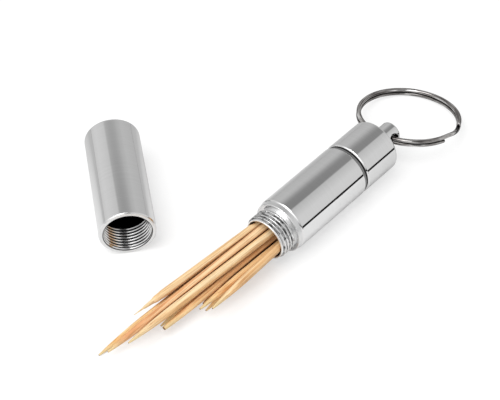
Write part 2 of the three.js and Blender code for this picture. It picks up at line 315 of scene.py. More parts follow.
def finish_mesh(bm, name, material, place=Matrix.Identity(4)):
    """Makes a smooth-shaded object of the mesh, with hard edges kept, and moves the mesh to its place."""
    loose = [v for v in bm.verts if not v.link_faces]
    bmesh.ops.delete(bm, geom=loose, context="VERTS")
    bmesh.ops.recalc_face_normals(bm, faces=bm.faces[:])
    bm.transform(place)
    mesh = bpy.data.meshes.new(name)
    bm.to_mesh(mesh)
    bm.free()
    mesh.shade_smooth()
    mesh.set_sharp_from_angle(angle=SHARP_ANGLE)
    mesh.materials.append(material)
    piece = bpy.data.objects.new(name, mesh)
    bpy.context.scene.collection.objects.link(piece)
    return piece


def dress(piece, node, body):
    """The piece stands for a node, whose part it hides, and rides on its body."""
    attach(piece, body)
    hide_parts(node)


# Node helpers for the materials.
def set_input(tree, socket, value):
    if isinstance(value, bpy.types.NodeSocket):
        tree.links.new(value, socket)
    else:
        socket.default_value = value


def add_node(tree, kind, inputs=None, **settings):
    made = tree.nodes.new(kind)
    for key, value in settings.items():
        setattr(made, key, value)
    for key, value in (inputs or {}).items():
        set_input(tree, made.inputs[key], value)
    return made


def grey(value):
    return (value, value, value, 1)


def new_material(name):
    material = bpy.data.materials.new(name)
    material.use_nodes = True
    material.node_tree.nodes.clear()
    return material, material.node_tree


def finish_material(tree, shader):
    output = add_node(tree, "ShaderNodeOutputMaterial")
    tree.links.new(shader.outputs[0], output.inputs["Surface"])


def finish_surface(tree, tone, rough, normal, more):
    """Ends a material in one surface. More holds further inputs of its shader."""
    inputs = {"Base Color": tone, "Roughness": rough, "Normal": normal, **more}
    finish_material(tree, add_node(tree, "ShaderNodeBsdfPrincipled", inputs))


def computed(tree, operation, *values):
    """Result of a math node on those numbers or sockets."""
    return add_node(tree, "ShaderNodeMath", dict(enumerate(values)), operation=operation).outputs[0]


def multiplied(tree, one, other):
    return computed(tree, "MULTIPLY", one, other)


def vector_computed(tree, operation, *values):
    """Outputs of a vector math node on those vectors or sockets."""
    return add_node(tree, "ShaderNodeVectorMath", dict(enumerate(values)), operation=operation).outputs


def parts_of(tree, vector):
    return add_node(tree, "ShaderNodeSeparateXYZ", {0: vector}).outputs


def own_frame(tree, place):
    """The shaded point in the frame in which the piece was laid out, before it moved to its place."""
    point = add_node(tree, "ShaderNodeTexCoord").outputs["Object"]
    settings = {"Vector": point, "Location": place.to_translation(), "Rotation": place.to_euler()}
    return add_node(tree, "ShaderNodeMapping", settings, vector_type="TEXTURE").outputs[0]


def stretched_noise(tree, point, scale, detail, roughness, offset=(0, 0, 0)):
    """Noise with a scale per millimetre along each axis of the piece's own frame."""
    per_metre = tuple(value / MM for value in scale)
    mapped = add_node(tree, "ShaderNodeMapping", {"Vector": point, "Scale": per_metre, "Location": offset})
    settings = {"Vector": mapped.outputs[0], "Scale": 1.0, "Detail": detail, "Roughness": roughness}
    return add_node(tree, "ShaderNodeTexNoise", settings).outputs["Fac"]


def mapped_range(tree, value, low, high, to_low, to_high):
    settings = {"Value": value, "From Min": low, "From Max": high, "To Min": to_low, "To Max": to_high}
    return add_node(tree, "ShaderNodeMapRange", settings).outputs[0]


def mapped_length(tree, length, low, high, to_low, to_high):
    """Range of a length in metres between two lengths in millimetres."""
    return mapped_range(tree, length, low * MM, high * MM, to_low, to_high)


def ramp(tree, value, stops):
    """Colour ramp with (place, colour) stops."""
    made = add_node(tree, "ShaderNodeValToRGB", {"Fac": value})
    elements = made.color_ramp.elements
    while len(elements) < len(stops):
        elements.new(0.5)
    for element, (place, colour) in zip(elements, stops):
        element.position = place
        element.color = colour
    return made.outputs["Color"]


# A mix node's colour sockets go by number, because their names are shared with its other data types.
MIX_SHARE, MIX_ONE, MIX_OTHER = 0, 6, 7
MIX_COLOUR = 2


def blended(tree, share, one, other, blend_type="MIX"):
    """Colour between one, at a share of zero, and the other, at a share of one."""
    inputs = {MIX_SHARE: share, MIX_ONE: one, MIX_OTHER: other}
    mix = add_node(tree, "ShaderNodeMix", inputs, data_type="RGBA", blend_type=blend_type)
    return mix.outputs[MIX_COLOUR]


def bumped(tree, height, strength, depth, under=None):
    """Normal with bumps of that depth in millimetres, laid over another normal if there is one."""
    inputs = {"Height": height, "Strength": strength, "Distance": depth * MM}
    if under is not None:
        inputs["Normal"] = under
    return add_node(tree, "ShaderNodeBump", inputs).outputs[0]


def axis_distance(tree, point):
    """Distance from the piece's own x axis, in millimetres."""
    flat = vector_computed(tree, "MULTIPLY", point, (0, 1 / MM, 1 / MM))[0]
    return vector_computed(tree, "LENGTH", flat)["Value"]


def axis_place(tree, point):
    """Place along the piece's own x axis, in metres."""
    return parts_of(tree, point)[X]


def within(tree, along, low, high):
    """One between two places along the piece's axis, in millimetres, and nothing elsewhere."""
    return computed(tree, "COMPARE", along, (low + high) / 2 * MM, (high - low) / 2 * MM)


# The distances from the axis that a radial ramp spans, in millimetres.
RADIAL_RANGE = (5, 8)


def radial_ramp(tree, distance, stops):
    """Colour ramp with (distance from the axis in millimetres, colour) stops."""
    share = mapped_range(tree, distance, *RADIAL_RANGE, 0, 1)
    low, high = RADIAL_RANGE
    return ramp(tree, share, [((radius - low) / (high - low), colour) for radius, colour in stops])


# In the materials a noise is given as its scale per millimetre along each axis, its detail and its
# roughness, and a bump as its strength and depth. Most of a noise's values lie in NOISE_RANGE.
NOISE_RANGE = (0.3, 0.7)

# Roughness of the turned pieces, by distance from the axis.
POLISH = 0.03
SATIN_STOPS = [(5.95, grey(0.42)), (6.01, grey(0.09)), (6.5, grey(0.09)), (7.0, grey(0.4))]
SATIN_EDGE_STOPS = [(7.21, grey(1)), (7.25, grey(0))]
TURNED_FINISH = (SATIN_STOPS, SATIN_EDGE_STOPS)
MOUTH_STOPS = [(5.95, grey(0.42)), (6.01, grey(0.17)), (6.5, grey(0.17)), (7.0, grey(0.4))]
MOUTH_EDGE_STOPS = [(7.21, grey(1)), (7.25, grey(0.35)), (7.46, grey(0.35)), (7.49, grey(0))]
MOUTH_FINISH = (MOUTH_STOPS, MOUTH_EDGE_STOPS)

# Painted shade in a threaded hollow: darker in the roots of its thread and towards its floor.
INNER_ROOT_SHADE_STOPS = [(6.2, grey(1)), (6.34, grey(0.04)), (6.45, grey(0.04)), (6.6, grey(1))]
HOLLOW_EDGES = (6.45, 6.55)
HOLLOW_FLOOR_SHADE = 0.15

# Painted light and shade on the barrel's neck, and painted shade in the narrow recess over its rear collar, beside
# the seal.
OUTER_ROOT_SHADE_STOPS = [(5.9, grey(0.12)), (6.05, grey(0.2)), (6.22, grey(1))]
# The lip's tone is a painted highlight. The noise breaks up the painted shade in the thread roots and lays painted
# dark patches on the thread.
LIP_HIGHLIGHT_TONE = 1.15
SHADE_BREAKUP_NOISE = ((1.3, 0.5, 0.5), 2, 0.6)
PAINTED_DARK_PATCH_STOPS = [(0.34, grey(0.32)), (0.41, grey(1))]
ROOT_SHADE_BREAKUP_STOPS = [(0.42, grey(1)), (0.58, grey(0.3))]
# The recess's tone is painted shade.
RECESS_RISES = (0.04, 0.1)
RECESS_SHADE_TONE = 0.36


def painted_hollow_shade(tree, point, span, thread, fades):
    """Multiplier that paints shade into a threaded hollow: darker in the roots of its thread and towards its
    floor.

    Span, thread and fades are places along x: the hollow's ends, the thread's ends, and where the painted shade
    begins and is complete.
    """
    distance, along = axis_distance(tree, point), axis_place(tree, point)
    # Painted shade in the thread roots and towards the hollow's floor.
    threaded = within(tree, along, *thread)
    roots = blended(tree, threaded, grey(1), radial_ramp(tree, distance, INNER_ROOT_SHADE_STOPS))
    fade = mapped_length(tree, along, *fades, 1, HOLLOW_FLOOR_SHADE)
    wall = mapped_range(tree, distance, *HOLLOW_EDGES, 1, 0)
    hollow = multiplied(tree, wall, within(tree, along, *span))
    return blended(tree, hollow, grey(1), multiplied(tree, roots, fade))


def painted_neck_light_and_shade(tree, point, span, thread, fades):
    """Multiplier that paints light and shade on the barrel: a painted highlight on the lip, painted shade in the
    thread roots broken up by noise, painted dark patches on the thread, and painted shade in the recess.

    Span, thread and fades are places along x: the barrel's ends, the ends of the painted shade on the thread, and
    where the recess's painted shade begins.
    """
    distance, along = axis_distance(tree, point), axis_place(tree, point)
    threaded = within(tree, along, *thread)
    # Noise that breaks up the painted root shade and lays painted dark patches on the thread.
    shade_noise = stretched_noise(tree, point, *SHADE_BREAKUP_NOISE)
    kept = multiplied(tree, threaded, ramp(tree, shade_noise, ROOT_SHADE_BREAKUP_STOPS))
    painted_dark_patches = blended(tree, threaded, grey(1), ramp(tree, shade_noise, PAINTED_DARK_PATCH_STOPS))
    clean = blended(tree, kept, grey(1), radial_ramp(tree, distance, OUTER_ROOT_SHADE_STOPS))
    roots = multiplied(tree, clean, painted_dark_patches)
    # The lip is brightened as a painted highlight.
    lip = blended(tree, within(tree, along, span[0], thread[0]), roots, grey(LIP_HIGHLIGHT_TONE))
    # The recess over the rear collar is darkened as painted shade.
    behind = mapped_length(tree, along, *fades, 0, 1)
    low, high = RECESS_RISES
    recess = mapped_range(tree, distance, COLLAR_RADIUS + low, COLLAR_RADIUS + high, 1, 0)
    return blended(tree, multiplied(tree, behind, recess), lip, grey(RECESS_SHADE_TONE))


# Fine marks of the lathe, faint blotches and a few scratches. Every piece has its own seed, and shifts
# keep the three noises apart.
BARREL_SEED, TAIL_CAP_SEED, FRONT_CAP_SEED = 1.0, 5.0, 9.0
TURNING_NOISE = ((9, 0.05, 0.05), 5, 0.6)
TURNING_SHIFT = (0, 0)
TURNING_TONES = [(0.3, grey(0.80)), (0.7, grey(0.86))]
GROOVE_EDGES = (6.8, 7.0)
GROOVE_STRENGTHS = (0.02, 0.35)
GROOVE_DEPTH = 0.0012
BLOTCH_NOISE = ((0.25, 0.3, 0.3), 3, 0.5)
BLOTCH_SHIFT = (3, 0)
BLOTCH_ROUGHNESS = (-0.01, 0.015)
SCRATCH_NOISE = ((0.12, 7, 7), 2, 0.4)
SCRATCH_SHIFT = (7, 1)
SCRATCH_EDGES = (0.64, 0.7)
SCRATCH_ROUGHNESS = 0.05
SCRATCH_BUMP = (0.3, 0.002)


def aluminium_material(name, seed, place, shade, span, thread, fades, finish=TURNED_FINISH):
    """Polished turned aluminium: bright outside, duller on satin collars, with light and shade painted into its
    colour.
    """
    material, tree = new_material(name)
    point = own_frame(tree, place)
    distance, along = axis_distance(tree, point), axis_place(tree, point)
    turning = stretched_noise(tree, point, *TURNING_NOISE, (seed, *TURNING_SHIFT))
    blotches = stretched_noise(tree, point, *BLOTCH_NOISE, (seed, *BLOTCH_SHIFT))
    scratches = stretched_noise(tree, point, *SCRATCH_NOISE, (seed, *SCRATCH_SHIFT))
    scratch = mapped_range(tree, scratches, *SCRATCH_EDGES, 0, 1)
    satin, satin_edge = finish
    dull = multiplied(tree, within(tree, along, *span), radial_ramp(tree, distance, satin_edge))
    polish = blended(tree, dull, grey(POLISH), radial_ramp(tree, distance, satin))
    rough = computed(tree, "ADD", polish, mapped_range(tree, blotches, *NOISE_RANGE, *BLOTCH_ROUGHNESS))
    worn = computed(tree, "MULTIPLY_ADD", scratch, SCRATCH_ROUGHNESS, rough)
    clean = ramp(tree, turning, TURNING_TONES)
    # The shade function paints shade and highlights into the metal's colour.
    tone = blended(tree, 1.0, clean, shade(tree, point, span, thread, fades), "MULTIPLY")
    strength = mapped_range(tree, distance, *GROOVE_EDGES, *GROOVE_STRENGTHS)
    grooves = bumped(tree, turning, strength, GROOVE_DEPTH)
    marks = bumped(tree, scratch, *SCRATCH_BUMP, grooves)
    finish_surface(tree, tone, worn, marks, {"Metallic": 1.0})
    return material


# Drawn streaks of the ring's wire, per millimetre across it and per radian round the ring, whose tones carry
# painted highlights and dark reflections, and painted shade in the gap between its two turns.
STREAKS_ACROSS = 3.0
STREAKS_ROUND = 2.2
STREAK_LEAN = 0.8
STREAK_DETAIL = 3.0
# Streak tones from near black to near white: drawn streaks with painted highlights and dark reflections in them.
RING_STREAK_AND_GLINT_TONES = [
    (0.34, (0.09, 0.083, 0.080, 1)),
    (0.46, (0.23, 0.215, 0.208, 1)),
    (0.55, (0.47, 0.455, 0.445, 1)),
    (0.66, (0.88, 0.87, 0.86, 1)),
]
RING_ROUGHNESS = (0.1, 0.05)
RING_BUMP = (0.5, 0.03)
TURN_GAP_SHADE_EDGES = (0.12, 0.31)
TURN_GAP_SHADE_TONE = 0.02


def gunmetal_material(place):
    """Dark nickel wire: drawn streaks with painted highlights and dark reflections that run round the ring, and
    painted shade, near black, where its two turns meet.
    """
    material, tree = new_material("gunmetal_finish")
    parts = parts_of(tree, own_frame(tree, place))
    flat = add_node(tree, "ShaderNodeCombineXYZ", {X: parts[X], Y: parts[Y]}).outputs[0]
    radius = vector_computed(tree, "LENGTH", flat)["Value"]
    ways = parts_of(tree, vector_computed(tree, "NORMALIZE", flat)[0])
    across = computed(tree, "MULTIPLY_ADD", parts[Z], STREAK_LEAN, radius)
    drawn_place = add_node(tree, "ShaderNodeCombineXYZ", {
        X: multiplied(tree, across, STREAKS_ACROSS / MM),
        Y: multiplied(tree, ways[X], STREAKS_ROUND),
        Z: multiplied(tree, ways[Y], STREAKS_ROUND),
    }).outputs[0]
    drawn = {"Vector": drawn_place, "Scale": 1.0, "Detail": STREAK_DETAIL}
    streaks = add_node(tree, "ShaderNodeTexNoise", drawn).outputs["Fac"]
    height = computed(tree, "ABSOLUTE", parts[Z])
    # Painted shade, near black, where the two turns meet.
    gap = mapped_length(tree, height, *TURN_GAP_SHADE_EDGES, TURN_GAP_SHADE_TONE, 1)
    tone = blended(tree, 1.0, ramp(tree, streaks, RING_STREAK_AND_GLINT_TONES), gap, "MULTIPLY")
    rough = mapped_range(tree, streaks, *NOISE_RANGE, *RING_ROUGHNESS)
    finish_surface(tree, tone, rough, bumped(tree, streaks, *RING_BUMP), {"Metallic": 1.0})
    return material


RUBBER_NOISE = ((14, 14, 14), 3, 0.55)
RUBBER_TONES = [(0.35, grey(0.004)), (0.7, grey(0.012))]
RUBBER_ROUGHNESS = (0.7, 0.9)
RUBBER_BUMP = (0.5, 0.01)
RUBBER_SHEEN = 0.2


def rubber_material(place):
    """Matt black rubber with a fine grain."""
    material, tree = new_material("rubber_finish")
    grain = stretched_noise(tree, own_frame(tree, place), *RUBBER_NOISE)
    tone = ramp(tree, grain, RUBBER_TONES)
    rough = mapped_range(tree, grain, *NOISE_RANGE, *RUBBER_ROUGHNESS)
    bumps = bumped(tree, grain, *RUBBER_BUMP)
    finish_surface(tree, tone, rough, bumps, {"Specular IOR Level": RUBBER_SHEEN})
    return material


# Colours of the picks: long bands, fine dark fibres, and patches of age.
BAND_NOISE = ((0.02, 0.9, 0.9), 4, 0.6)
BAND_EDGES = (0.38, 0.58)
FIBRE_NOISE = ((0.08, 5, 5), 3, 0.6)
FIBRE_EDGES = (0.48, 0.68)
FIBRE_SHARE = 0.7
FIBRE_TINT = (0.55, 0.4, 0.3)
FIBRE_BUMP = (0.6, 0.03)
PATCH_NOISE = ((0.14, 0.2, 0.2), 3, 0.5)
PATCH_TONES = [(0.3, (0.84, 0.78, 0.72, 1)), (0.65, (1, 1, 1, 1))]
PATCH_SHARE = 0.8
BAMBOO_ROUGHNESS = (0.42, 0.62)
BAMBOO_SHEEN = 0.25
# The pick's tip, by distance from its end in millimetres.
TIP_EDGES = (1, 6)
TIP_SHARE = 0.6
TIP_COLOUR = (0.78, 0.66, 0.36, 1)
CUT_EDGES = (0.02, 0.1)
CUT_SHARE = 0.8
CUT_COLOUR = (0.16, 0.07, 0.03, 1)
# Painted shade in the gaps between picks, by how open a spot is to its surroundings.
PICK_GAP_REACH = 1.6
PICK_GAP_SAMPLES = 8
PICK_GAP_SHADE_TONES = [
    (0.26, (0.006, 0.002, 0.001, 1)),
    (0.34, (0.26, 0.09, 0.03, 1)),
    (0.43, (0.86, 0.62, 0.44, 1)),
    (0.66, (1, 1, 1, 1)),
]


def bamboo_material(name, seed, place, pale, deep):
    """Bare bamboo: long bands of colour, fine dark fibres, a dark cut end, and painted shade in the gaps between
    picks.
    """
    material, tree = new_material(name)
    point = own_frame(tree, place)
    along = axis_place(tree, point)
    bands = stretched_noise(tree, point, *BAND_NOISE, (seed, 0, 0))
    fibres = stretched_noise(tree, point, *FIBRE_NOISE, (0, seed, 0))
    patches = stretched_noise(tree, point, *PATCH_NOISE, (0, 0, seed))
    low, high = BAND_EDGES
    banded = ramp(tree, bands, [(low, (*deep, 1)), (high, (*pale, 1))])
    fibre_colour = [value * tint for value, tint in zip(deep, FIBRE_TINT)]
    fibre_share = mapped_range(tree, fibres, *FIBRE_EDGES, 0, FIBRE_SHARE)
    streaked = blended(tree, fibre_share, banded, (*fibre_colour, 1))
    aged = blended(tree, PATCH_SHARE, streaked, ramp(tree, patches, PATCH_TONES), "MULTIPLY")
    pointed = blended(tree, mapped_length(tree, along, *TIP_EDGES, TIP_SHARE, 0), aged, TIP_COLOUR)
    ended = blended(tree, mapped_length(tree, along, *CUT_EDGES, CUT_SHARE, 0), pointed, CUT_COLOUR)
    # Painted shade: darker where a spot is closed in by its neighbouring picks.
    reach = {"Distance": PICK_GAP_REACH * MM}
    openness = add_node(tree, "ShaderNodeAmbientOcclusion", reach, samples=PICK_GAP_SAMPLES).outputs["AO"]
    tone = blended(tree, 1.0, ended, ramp(tree, openness, PICK_GAP_SHADE_TONES), "MULTIPLY")
    rough = mapped_range(tree, fibres, *NOISE_RANGE, *BAMBOO_ROUGHNESS)
    bumps = bumped(tree, fibres, *FIBRE_BUMP)
    finish_surface(tree, tone, rough, bumps, {"Specular IOR Level": BAMBOO_SHEEN})
    return material


# Places that come from the frame, in millimetres.
def corners_of(node):
    low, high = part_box(node)
    return low / MM, high / MM


barrel_low, barrel_high = corners_of("barrel")
seal_low, seal_high = corners_of("tail_seal")
tail_low, tail_high = corners_of("tail_cap")
BODY_RADIUS = (barrel_high.z - barrel_low.z) / 2
COLLAR_RADIUS = BODY_RADIUS - COLLAR_INSET
SEAL_RADIUS = (seal_high.z - seal_low.z) / 2
SHOULDER = Vector((
    barrel_low.x + NECK_LENGTH + FRONT_COLLAR,
    (barrel_low.y + barrel_high.y) / 2,
    (barrel_low.z + barrel_high.z) / 2,
))
NECK_START = barrel_low.x - SHOULDER.x
NECK_END = barrel_high.x - SHOULDER.x
REAR_COLLAR_X = NECK_END - NECK_TIP - REAR_THREAD * THREAD_PITCH - NECK_RELIEF
BARREL_LENGTH = REAR_COLLAR_X - REAR_COLLAR
SEAL_START = seal_low.x - SHOULDER.x
SEAL_END = seal_high.x - SHOULDER.x
TAIL_START = tail_low.x - SHOULDER.x
BOSS_END = tail_high.x - SHOULDER.x
TAIL_BOTTOM = NECK_END + TAIL_BOTTOM_ROOM
TAIL_END = TAIL_BOTTOM + TAIL_END_WALL
layout_place = Matrix.Translation(SHOULDER * MM)


def joint_named(name):
    return next(joint for joint in frame["joints"] if joint["name"] == name)


# The cross hole, and its turn about the barrel's axis.
HOLE_X = joint_named("ring_swing")["pos_m"][X] / MM - SHOULDER.x
hole_way = joint_named("ring_swing")["axis"]
HOLE_ROLL = math.atan2(-hole_way[Z], -hole_way[Y])
turned_place = layout_place @ Matrix.Rotation(HOLE_ROLL, 4, "X")


def make_barrel():
    """Barrel: polished tube with a stepped collar and a threaded neck at either end."""
    middle = BARREL_LENGTH / 2
    front_low, front_high = NECK_START + EDGE_FILLET + SUPPORT, -FRONT_COLLAR - EDGE_FILLET
    front_start = NECK_START + NECK_TIP
    front_reach = (front_start, front_start + FRONT_THREAD * THREAD_PITCH)
    rear_low, rear_high = REAR_COLLAR_X + EDGE_FILLET, NECK_END - EDGE_FILLET - SUPPORT
    rear_start = REAR_COLLAR_X + NECK_RELIEF
    rear_reach = (rear_start, rear_start + REAR_THREAD * THREAD_PITCH)
    shoulder_top = COLLAR_RADIUS + SHOULDER_RISE
    mouth = rounded([
        (middle, BORE_RADIUS),
        (NECK_START, BORE_RADIUS, SMALL_FILLET),
        (NECK_START, NECK_RADIUS, EDGE_FILLET),
        (front_low, NECK_RADIUS),
    ])
    front = Thread((front_low, front_high), front_reach, NECK_RADIUS)
    body = rounded([
        (front_high, NECK_RADIUS),
        (-FRONT_COLLAR, NECK_RADIUS, SMALL_FILLET),
        (-FRONT_COLLAR, COLLAR_RADIUS, EDGE_FILLET),
        (-SHOULDER_CHAMFER / 2, COLLAR_RADIUS, SMALL_FILLET),
        (0, shoulder_top),
        (SHOULDER_CHAMFER, BODY_RADIUS, EDGE_FILLET),
        (middle, BODY_RADIUS),
        (BARREL_LENGTH - SHOULDER_CHAMFER, BODY_RADIUS, EDGE_FILLET),
        (BARREL_LENGTH, shoulder_top),
        (BARREL_LENGTH + SHOULDER_CHAMFER / 2, COLLAR_RADIUS, SMALL_FILLET),
        (REAR_COLLAR_X, COLLAR_RADIUS, SMALL_FILLET),
        (REAR_COLLAR_X, NECK_RADIUS, SMALL_FILLET),
        (rear_low, NECK_RADIUS),
    ])
    rear = Thread((rear_low, rear_high), rear_reach, NECK_RADIUS)
    tail = rounded([
        (rear_high, NECK_RADIUS),
        (NECK_END, NECK_RADIUS, EDGE_FILLET),
        (NECK_END, BORE_RADIUS, SMALL_FILLET),
        (middle + SUPPORT, BORE_RADIUS),
    ])
    bm, _ = turned_mesh([mouth, front, body, rear, tail], poles=False)
    span = (NECK_START - OUTSIDE, NECK_END + OUTSIDE)
    shaded = (NECK_START + LIP_LENGTH, -FRONT_COLLAR - NECK_RELIEF)
    fades = [BARREL_LENGTH - distance for distance in RECESS_FADES]
    material = aluminium_material("aluminium_barrel", BARREL_SEED, layout_place, painted_neck_light_and_shade,
                                  span, shaded, fades)
    piece = finish_mesh(bm, "barrel_tube", material, layout_place)
    dress(piece, "barrel", "barrel")


def make_seal():
    """Seal: a flat rubber ring with rounded corners."""
    inner = NECK_RADIUS + THREAD_DEPTH + SEAL_GAP
    corner = (SEAL_END - SEAL_START) / 4
    middle = (SEAL_START + SEAL_END) / 2
    profile = rounded([
        (middle, inner),
        (SEAL_START, inner, corner),
        (SEAL_START, SEAL_RADIUS, corner),
        (SEAL_END, SEAL_RADIUS, corner),
        (SEAL_END, inner, corner),
        (middle + SUPPORT, inner),
    ])
    bm, _ = turned_mesh([profile], poles=False)
    piece = finish_mesh(bm, "seam_seal", rubber_material(layout_place), layout_place)
    dress(piece, "tail_seal", "tail_seal")


def boss_hole(bm, lines, first_ring):
    """Fills the gaps in the boss's wall round its cross hole with two rounded rims and the hole's wall."""
    rims = []
    half = PATCH_HALF_COLUMNS
    border = [(first_ring, m) for m in range(-half, half)]
    border += [(first_ring + i, half) for i in range(PATCH_RINGS)]
    border += [(first_ring + PATCH_RINGS, m) for m in range(half, -half, -1)]
    border += [(first_ring + i, -half) for i in range(PATCH_RINGS, 0, -1)]
    for side in (1, -1):
        rings = [[]]
        for ring, m in border:
            column = m % COLUMNS if side > 0 else COLUMNS // 2 - m
            rings[0].append(lines[column][ring])
        ways = []
        for vertex in rings[0]:
            out = Vector((vertex.co.x / MM - HOLE_X, vertex.co.z / MM))
            ways.append((out, out.normalized()))
        reach = HOLE_RADIUS + HOLE_ROUNDING
        for i in range(1, PATCH_STEPS + 1):
            share = i / PATCH_STEPS
            flat = [out.lerp(way * reach, share) for out, way in ways]
            rings.append([boss_point(bm, p, 0, side) for p in flat])
        for i in range(1, ROUNDING_STEPS + 1):
            swing = math.pi / 2 * i / ROUNDING_STEPS
            radius = HOLE_RADIUS + HOLE_ROUNDING * (1 - math.sin(swing))
            drop = HOLE_ROUNDING * (1 - math.cos(swing))
            rings.append([boss_point(bm, way * radius, drop, side) for _, way in ways])
        for outer, inner in zip(rings, rings[1:]):
            join_rings(bm, outer, inner)
        rims.append(rings[-1])
    join_rings(bm, rims[0], rims[1])


def boss_point(bm, flat, drop, side):
    """Vertex on the boss's wall above a place in the plane across the hole, sunk by drop."""
    depth = math.sqrt(BOSS_RADIUS ** 2 - flat.y ** 2) - drop
    return bm.verts.new(Vector((HOLE_X + flat.x, side * depth, flat.y)) * MM)


def join_rings(bm, one, other):
    count = len(one)
    for i in range(count):
        j = (i + 1) % count
        bm.faces.new((one[i], one[j], other[j], other[i]))


def make_tail_cap():
    """Tail cap: threaded hollow, chamfered seam edge, and the boss with its cross hole."""
    patch_high, patch_low = HOLE_X + PATCH_REACH, HOLE_X - PATCH_REACH
    tip = rounded([
        (BOSS_END, SUPPORT),
        (BOSS_END, BOSS_RADIUS, BOSS_EDGE),
        (patch_high + SUPPORT, BOSS_RADIUS),
    ], FINE_CORNER_STEPS)
    step = 2 * PATCH_REACH / PATCH_RINGS
    band = [(patch_high - step * i, BOSS_RADIUS) for i in range(PATCH_RINGS + 1)]
    outside = rounded([
        (patch_low - SUPPORT, BOSS_RADIUS),
        (TAIL_END, BOSS_RADIUS, BOSS_FILLET),
        (TAIL_END, BODY_RADIUS, CAP_EDGE),
        (TAIL_START + SEAM_CHAMFER, BODY_RADIUS, SMALL_FILLET),
        (TAIL_START, BODY_RADIUS - SEAM_CHAMFER, SMALL_FILLET),
        (TAIL_START, CAP_BORE_RADIUS + THREAD_DEPTH),
    ], FINE_CORNER_STEPS)
    start = TAIL_START - THREAD_PITCH / 2
    thread_end = start + (REAR_THREAD + TAIL_EXTRA_TURNS) * THREAD_PITCH
    inside_low = thread_end + THREAD_PITCH / 2

    def lead_in(x):
        return CAP_BORE_RADIUS + THREAD_DEPTH * max(0, 1 - (x - TAIL_START) / LEAD_IN)

    thread = Thread((TAIL_START, inside_low), (start, thread_end), CAP_BORE_RADIUS, inner=True,
                    fades=(False, True), lead_in=lead_in)
    inside = rounded([
        (inside_low, CAP_BORE_RADIUS),
        (TAIL_BOTTOM, CAP_BORE_RADIUS, FLOOR_FILLET),
        (TAIL_BOTTOM, SUPPORT),
    ])
    first_ring = len(tip)
    patch_columns = set(range(-PATCH_HALF_COLUMNS, PATCH_HALF_COLUMNS))

    def skip(column, ring):
        if not first_ring <= ring < first_ring + PATCH_RINGS:
            return False
        near = (column + COLUMNS // 2) % COLUMNS - COLUMNS // 2
        far = column - COLUMNS // 2
        return near in patch_columns or far in patch_columns

    bm, lines = turned_mesh([tip, band, outside, thread, inside], poles=True, skip=skip)
    boss_hole(bm, lines, first_ring)
    span = (TAIL_START - OUTSIDE, TAIL_BOTTOM + FLOOR_SKIN)
    shaded = (TAIL_START - OUTSIDE, TAIL_START + TAIL_ROOTS_LENGTH)
    fades = [TAIL_START + depth for depth in TAIL_FADES]
    material = aluminium_material("aluminium_tail_cap", TAIL_CAP_SEED, turned_place, painted_hollow_shade,
                                  span, shaded, fades)
    piece = finish_mesh(bm, "tail_cap_turned", material, turned_place)
    dress(piece, "tail_cap", "tail_cap")


def front_cap_place():
    """Where the loose cap lies, from the flat face at its closed end."""
    mount = next(m for m in frame["record"]["mounts"] if m["name"] == "front_cap_end")
    way = Vector(mount["axis"]).normalized()
    across = Vector((0, 0, 1)).cross(-way)
    turn = Matrix((-way, across, (0, 0, 1))).transposed().to_4x4()
    end = Vector(((-FRONT_COLLAR - FRONT_CAP_LENGTH) * MM, 0, 0))
    return Matrix.Translation(Vector(mount["pos_m"])) @ turn @ Matrix.Translation(-end)


def make_front_cap():
    """Front cap, laid out as if screwed on: mouth on the front collar, closed end towards -x."""
    seat = -FRONT_COLLAR
    start = seat - FRONT_CAP_THREAD * THREAD_PITCH
    inside_high = start - THREAD_PITCH

    def lead_in(x):
        return CAP_BORE_RADIUS + THREAD_DEPTH * max(0, 1 - (seat - x) / LEAD_IN)

    inside = rounded([
        (seat - FRONT_CAP_DEPTH, SUPPORT),
        (seat - FRONT_CAP_DEPTH, CAP_BORE_RADIUS, FLOOR_FILLET),
        (inside_high, CAP_BORE_RADIUS),
    ])
    thread = Thread((inside_high, seat), (start, seat + THREAD_PITCH / 2), CAP_BORE_RADIUS, inner=True,
                    fades=(True, False), lead_in=lead_in)
    outside = rounded([
        (seat, CAP_BORE_RADIUS + THREAD_DEPTH),
        (seat, BODY_RADIUS - RIM_CHAMFER, SMALL_FILLET),
        (seat - RIM_CHAMFER, BODY_RADIUS, SMALL_FILLET),
        (seat - FRONT_CAP_LENGTH, BODY_RADIUS, CAP_EDGE),
        (seat - FRONT_CAP_LENGTH, SUPPORT),
    ], FINE_CORNER_STEPS)
    bm, _ = turned_mesh([inside, thread, outside], poles=True)
    place = front_cap_place()
    span = (seat - FRONT_CAP_DEPTH - FLOOR_SKIN, seat + OUTSIDE)
    shaded = (seat - CAP_ROOTS_LENGTH, seat + OUTSIDE)
    fades = [seat - depth for depth in CAP_FADES]
    material = aluminium_material("aluminium_front_cap", FRONT_CAP_SEED, place, painted_hollow_shade,
                                  span, shaded, fades, finish=MOUTH_FINISH)
    piece = finish_mesh(bm, "front_cap_turned", material, place)
    dress(piece, "front_cap", "front_cap")


def ring_place():
    """Through the boss's hole and turned with it, leaning until its lowest point is on the floor."""
    mid = RING_OUTER - WIRE_WIDTH / 2
    along = mid * math.cos(RING_YAW) - RING_REACH ** 2 / (2 * mid)
    across = mid * math.sin(RING_YAW)
    drop = RING_DROP + WIRE_HEIGHT / 2 + LAYER_OFFSET
    level, side = math.cos(HOLE_ROLL), math.sin(HOLE_ROLL)
    tilt, step = 0, TILT_STEP
    for _ in range(TILT_HALVINGS):
        rise, run = math.sin(tilt + step), math.cos(tilt + step)
        lowest = across * side - level * (along * rise + drop * run)
        if lowest - RING_OUTER * math.hypot(rise * level, side) > -BODY_RADIUS:
            tilt += step
        step /= 2
    local = Matrix.Translation(Vector((along, across, -RING_DROP)) * MM)
    at_hole = Matrix.Translation(Vector((HOLE_X, 0, 0)) * MM)
    return turned_place @ at_hole @ Matrix.Rotation(tilt, 4, "Y") @ local


